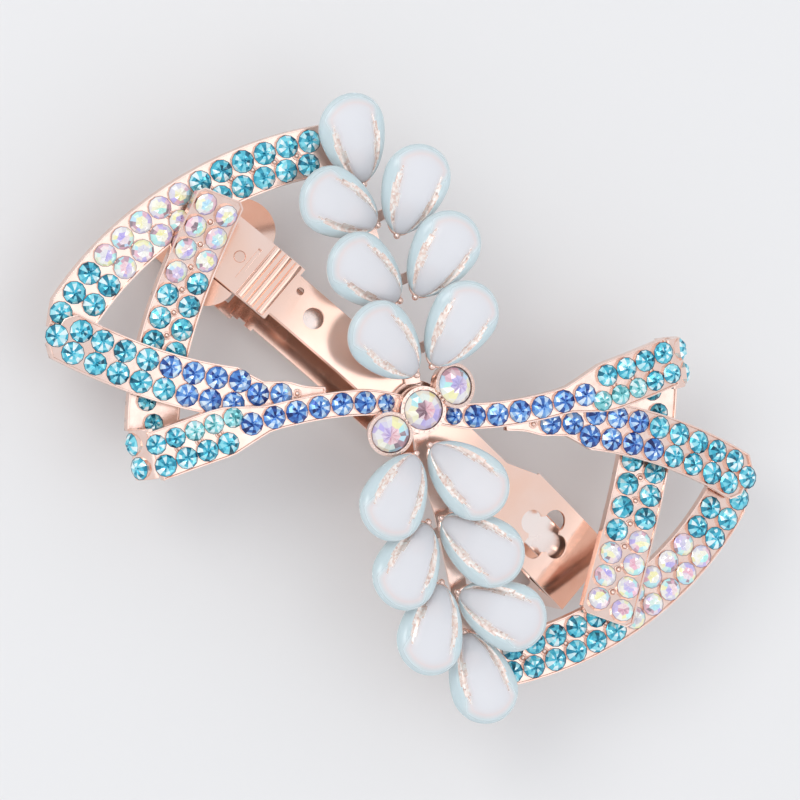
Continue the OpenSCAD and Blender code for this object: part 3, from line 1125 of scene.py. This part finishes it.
@dataclass
class Petal:
    """A sculpted glass petal: milky middle, two clear side lobes, a glitter crease on each side."""

    length: float
    width: float
    thickness: float
    segments: int = 88
    rings: int = 52
    crease: float = 0.62
    crease_width: float = 0.12
    crease_end: float = 0.22
    groove: float = 0.3 * MM
    swell: float = 0.22 * MM

    attribute = "frost"
    # Point attribute of the painted shade towards the root.
    root_shade_attribute = "root"
    taper, belly = 1.7, 0.54
    dome, back_share = 2.6, 0.8
    side_power, lift_power = 0.85, 0.9
    root_shade_reach = 0.45
    back_frost = 0.6
    lobe_edge = 0.88
    crease_start, crease_power = -0.47, 0.7

    def half_width(self, x: float) -> float:
        """Half width of the egg outline at x, from -length/2 at the base to length/2 at the tip."""
        big = self.width / 2
        far = self.length / 2 - big
        if x > far:
            return math.sqrt(max(0.0, big * big - (x - far) ** 2))
        share = (far - x) / (far + self.length / 2)
        return big * max(0.0, 1 - share**self.taper) ** self.belly

    def half_height(self, x: float, up: bool) -> float:
        """Half thickness at x, fuller on the front than on the back."""
        share = abs(2 * x / self.length)
        full = self.thickness / 2 * max(0.0, 1 - share**self.dome) ** 0.5
        return full if up else full * self.back_share

    def build(self) -> Piece:
        """Models the petal at the origin.

        Returns:
            The petal, with glass in slot 0 and glitter in slot 1.
        """
        clear_bench()
        bpy.ops.mesh.primitive_uv_sphere_add(
            segments=self.segments, ring_count=self.rings, radius=1
        )
        petal = bpy.context.active_object
        petal.name = "petal_model"
        bpy.ops.transform.rotate(value=math.pi / 2, orient_axis="Y", center_override=(0, 0, 0))
        bpy.ops.object.transform_apply(location=True, rotation=True, scale=True)
        frost = petal.data.attributes.new(self.attribute, "FLOAT", "POINT")
        root = petal.data.attributes.new(self.root_shade_attribute, "FLOAT", "POINT")
        values = []
        for vertex in petal.data.vertices:
            vertex.co, milk = self.sculpt(vertex.co)
            values.append(milk)
        frost.data.foreach_set("value", np.array(values, np.float32))
        # Painted shade towards the root: 0 at the root, fading out a little under half way along
        # the petal.
        along = np.array([v.co.x / self.length + 0.5 for v in petal.data.vertices], np.float32)
        root.data.foreach_set("value", np.clip(along / self.root_shade_reach, 0, 1))
        petal.data.materials.append(PetalGlass().material())
        petal.data.materials.append(CreaseGlitter().material())
        for face in petal.data.polygons:
            face.material_index = 1 if self.in_crease(face) else 0
        edit_all(petal)
        bpy.ops.mesh.normals_make_consistent(inside=False)
        to_object_mode()
        take(petal)
        bpy.ops.object.shade_smooth()
        return petal

    def sculpt(self, unit: Vector) -> tuple[Vector, float]:
        """Moves one point of a unit ball to the petal's surface.

        Args:
            unit: Point on the ball, whose poles are on X.

        Returns:
            The point in metres, and how frosted the glass is there.
        """
        x = unit.x * self.length / 2
        ring = math.hypot(unit.y, unit.z)
        cos_a, sin_a = (unit.y / ring, unit.z / ring) if ring > 1e-6 else (0.0, 0.0)
        side = math.copysign(abs(cos_a) ** self.side_power, cos_a)
        y = self.half_width(x) * side
        lift = math.copysign(abs(sin_a) ** self.lift_power, sin_a)
        z = self.half_height(x, sin_a > 0) * lift
        along = x / self.length
        out = abs(side)
        fade = min(1.0, max(0.0, (self.crease_end + 0.08 - along) / 0.16))
        if sin_a > 0:
            near = math.exp(-(((out - self.crease) / 0.1) ** 2))
            z -= self.groove * near * fade * min(1.0, (along + 0.5) / 0.12)
            if out < self.crease:
                z += self.swell * (1 - (out / self.crease) ** 2) * (1 - (2 * along) ** 2)
        edge = self.crease + (self.lobe_edge - self.crease) * (1 - fade)
        big = self.width / 2
        far = self.length / 2 - big
        reach = max(out, math.hypot(y, x - far) / big) if x > far else out
        blend = 0.045 + 0.015 * (1 - fade)
        milk = 1 / (1 + math.exp((reach - edge) / blend)) if sin_a > 0 else self.back_frost
        return Vector((x, y, z)), milk

    def in_crease(self, face: bpy.types.MeshPolygon) -> bool:
        """Whether a face lies in one of the two glitter creases."""
        along = face.center.x / self.length
        wide = self.half_width(face.center.x)
        start = self.crease_start
        if face.center.z < 0 or wide <= 0 or not start < along < self.crease_end:
            return False
        share = math.sin(math.pi * (along - start) / (self.crease_end - start)) ** self.crease_power
        return abs(abs(face.center.y) / wide - self.crease) < self.crease_width * share


@dataclass
class Spray:
    """Both halves of the wheat-ear spray: petals and claws."""

    claw: float = 0.2 * MM
    loop: float = 1.75 * MM
    stretch: float = 1.35
    reach: float = 2.3 * MM
    bead: float = 0.42 * MM

    def build(self, nodes: Iterable[str]) -> None:
        """Models one petal and one claw, and copies them to each CAD petal.

        Args:
            nodes: All the CAD nodes' names.
        """
        names = sorted(n for n in nodes if "_petal_" in n)
        sizes = own_frame(names[0])[1]
        model = Petal(sizes.x, sizes.y, sizes.z).build()
        claw = self.claw_model(sizes)
        for node in names:
            place = own_frame(node)[0]
            petal = duplicate_mesh(model, node + "_glass", place)
            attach(petal, "bow")
            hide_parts(node)
            hook = duplicate_mesh(claw, node + "_claw", place)
            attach(hook, "bow")
            log.info("%s: %d faces, with claw", petal.name, len(petal.data.polygons))
        bpy.data.objects.remove(model, do_unlink=True)
        bpy.data.objects.remove(claw, do_unlink=True)

    def claw_model(self, sizes: Vector) -> Piece:
        """Models the wire claw round the narrow end of a petal, with a bead at its root.

        Args:
            sizes: Length, width and thickness of a petal.

        Returns:
            The claw, at a petal's own frame.
        """
        clear_bench()
        root = -sizes.x / 2
        bpy.ops.mesh.primitive_torus_add(
            major_radius=self.loop,
            minor_radius=self.claw,
            major_segments=36,
            minor_segments=8,
            location=(root + self.loop, 0, -0.1 * MM),
        )
        wire = bpy.context.active_object
        bpy.ops.object.transform_apply(location=True, rotation=True, scale=True)
        edit_all(wire)
        bpy.ops.transform.resize(value=(self.stretch, 1.0, 1.0), center_override=(root, 0, 0))
        bpy.ops.mesh.bisect(
            plane_co=(root + self.reach, 0, 0), plane_no=(1, 0, 0), use_fill=True, clear_outer=True
        )
        clear_bench()
        bpy.ops.mesh.primitive_uv_sphere_add(
            segments=14, ring_count=9, radius=self.bead, location=(root - 0.25 * MM, 0, 0.1 * MM)
        )
        bead = bpy.context.active_object
        bpy.ops.object.transform_apply(location=True, rotation=True, scale=True)
        claw = join([wire, bead], "claw_model")
        take(claw)
        bpy.ops.object.shade_smooth_by_angle(angle=math.radians(50))
        claw.data.materials.clear()
        claw.data.materials.append(METALS[Metal.CAST].material())
        return claw


@dataclass
class Bow:
    """The cast bow: ribbons, folds, stones, centre and twigs."""

    wings: tuple[str, str] = ("left", "right")
    rimmed: tuple[str, ...] = (
        "outer_ribbon_upper",
        "outer_ribbon_lower",
        "inner_ribbon_front",
        "inner_ribbon_back",
    )
    plain: tuple[str, ...] = ("corner_joint", "inner_ribbon_fold")
    fold_edge: float = 0.08 * MM
    centre_edge: float = 0.06 * MM
    twig_edge: float = 0.1 * MM

    def build(self) -> None:
        """Builds both wings and the centre."""
        cutter = GemCutter()
        model = cutter.cut("stone_model")
        for wing_number, wing in enumerate(self.wings):
            for name in self.rimmed:
                Ribbon(f"{wing}_{name}").build()
            for name in self.plain:
                strip_piece(f"{wing}_{name}", "bow", Metal.CAST, self.fold_edge)
            for glass_number, glass in enumerate(Stone):
                StoneSetting(wing, glass, 10 * wing_number + glass_number).build(cutter, model)
            GrainBeads().build(f"{wing}_prong_beads")
        bpy.data.objects.remove(model, do_unlink=True)
        for node in ("centre_setting", "centre_saddle"):
            strip_piece(node, "bow", Metal.CAST, self.centre_edge)
        for half in ("upper", "lower"):
            strip_piece(f"{half}_spray_branch", "bow", Metal.CAST, self.twig_edge)
        CentreCrystals().build()


ARCH_TOLERANCE = math.radians(4)


def follow_arch(piece: Piece, across: Vector, centre: Vector) -> None:
    """Shades the arched faces of a strip as one smooth arc, right up to their holes.

    Args:
        piece: The strip.
        across: Direction of the arc's axis.
        centre: A point on the arc's axis.
    """
    mesh = piece.data
    normals = [corner.vector.copy() for corner in mesh.corner_normals]
    least = math.cos(ARCH_TOLERANCE)
    for face in mesh.polygons:
        for corner in face.loop_indices:
            radial = mesh.vertices[mesh.loops[corner].vertex_index].co - centre
            radial = (radial - across * radial.dot(across)).normalized()
            share = face.normal.dot(radial)
            if abs(share) > least:
                normals[corner] = radial * math.copysign(1, share)
    mesh.normals_split_custom_set(normals)


@dataclass
class Clip:
    """The barrette clip under the bow."""

    edge: float = 0.12 * MM
    arch: float = 84 * MM
    arched: tuple[str, ...] = ("base_plate", "locking_arm")

    finishes = {
        "base_plate": Metal.STRIP,
        "catch_bracket": Metal.STRIP,
        "catch_rivet": Metal.PIN,
        "hinge_pin": Metal.PIN,
        "tension_bar_pin": Metal.PIN,
        "locking_arm": Metal.STRIP,
        "tension_bar": Metal.SPRING,
        "catch_lever_left": Metal.STRIP,
        "catch_lever_right": Metal.STRIP,
    }

    def build(self, bodies: dict[str, Sequence[str]], across: Vector) -> None:
        """Makes every piece of the clip on the body that carries it.

        Args:
            bodies: Names of the CAD nodes of each CAD body.
            across: Direction of the hinge pin, square to the clip's length.
        """
        for body, members in bodies.items():
            for node in members:
                if node not in self.finishes:
                    continue
                piece = strip_piece(node, body, self.finishes[node], self.edge)
                if node in self.arched:
                    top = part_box(node)[1][2]
                    follow_arch(piece, across, Vector((0, 0, top - self.arch)))


# ---- Studio ----


@dataclass(frozen=True)
class StudioLight:
    """A large soft light that faces the object."""

    name: str
    place: tuple[float, float, float]
    size: float
    power: float
    colour: Colour = (1.0, 1.0, 1.0)

    def build(self, target: Vector) -> None:
        """Hangs the light.

        Args:
            target: Point that the light faces.
        """
        lamp = bpy.data.lights.new(self.name, "AREA")
        lamp.energy = self.power
        lamp.size = self.size
        lamp.color = self.colour
        holder = bpy.data.objects.new(self.name, lamp)
        holder.location = self.place
        holder.rotation_mode = "QUATERNION"
        holder.rotation_quaternion = (target - Vector(self.place)).to_track_quat("-Z", "Y")
        bpy.context.scene.collection.objects.link(holder)


@dataclass
class Studio:
    """Pale floor, soft lights and a long-lens camera that looks down on the clip."""

    distance: float = 1.2
    lens: float = 469.8
    tilt: tuple[float, float, float] = (-2.90, -18.91, -8.69)
    aim: tuple[float, float, float] = (-1.65 * MM, 1.29 * MM, -1.33 * MM)
    lights: tuple[StudioLight, ...] = (
        StudioLight("window", (-0.5, 0.45, 0.7), 0.4, 1.9, (1.0, 0.99, 0.97)),
        StudioLight("overhead", (0.15, -0.1, 0.95), 0.6, 0.7),
        StudioLight("fill", (0.7, -0.45, 0.35), 0.4, 0.5, (0.96, 0.98, 1.0)),
    )

    def build(self) -> None:
        """Lays the floor, hangs the lights and sets the camera."""
        setting_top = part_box("centre_saddle")[1]
        target = Vector((0, 0, setting_top.z)) + Vector(self.aim)
        self.floor()
        self.world()
        for light in self.lights:
            light.build(target)
        camera_data = bpy.data.cameras.new("camera")
        camera_data.lens = self.lens
        camera_data.clip_start = 0.01
        camera_data.clip_end = 10.0
        camera = bpy.data.objects.new("camera", camera_data)
        camera.rotation_euler = [math.radians(a) for a in self.tilt]
        camera.location = target + camera.rotation_euler.to_matrix() @ Vector((0, 0, self.distance))
        bpy.context.scene.collection.objects.link(camera)
        bpy.context.scene.camera = camera

    def floor(self) -> None:
        """Lays a plain pale floor under the clip."""
        clear_bench()
        bpy.ops.mesh.primitive_plane_add(size=6, location=(0, 0, -0.02 * MM))
        floor = bpy.context.active_object
        floor.name = "floor"
        material, shader = new_material("floor_paint")
        set_inputs(shader, Base_Color=(0.80, 0.795, 0.785), Roughness=0.55)
        floor.data.materials.append(material)

    def world(self) -> None:
        """Fills the room with even pale light."""
        world = bpy.data.worlds.new("room")
        bpy.context.scene.world = world
        world.use_nodes = True
        backdrop = world.node_tree.nodes["Background"]
        backdrop.inputs["Color"].default_value = (0.93, 0.95, 1.0, 1.0)
        backdrop.inputs["Strength"].default_value = 0.9
        bpy.context.scene.view_settings.view_transform = "Standard"


def main() -> None:
    """Builds the whole hair clip round its frame."""
    logging.basicConfig(level=logging.INFO, format="%(name)s %(message)s")
    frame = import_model()
    behaviour = frame["record"]["behaviour"]
    Bow().build()
    Spray().build(frame["nodes"])
    hinge = next(joint for joint in behaviour["joints"] if joint["name"] == "arm_hinge")
    Clip().build(behaviour["bodies"], Vector(hinge["axis"]).normalized())
    Studio().build()
    clear_bench()


if __name__ == "__main__":
    main()
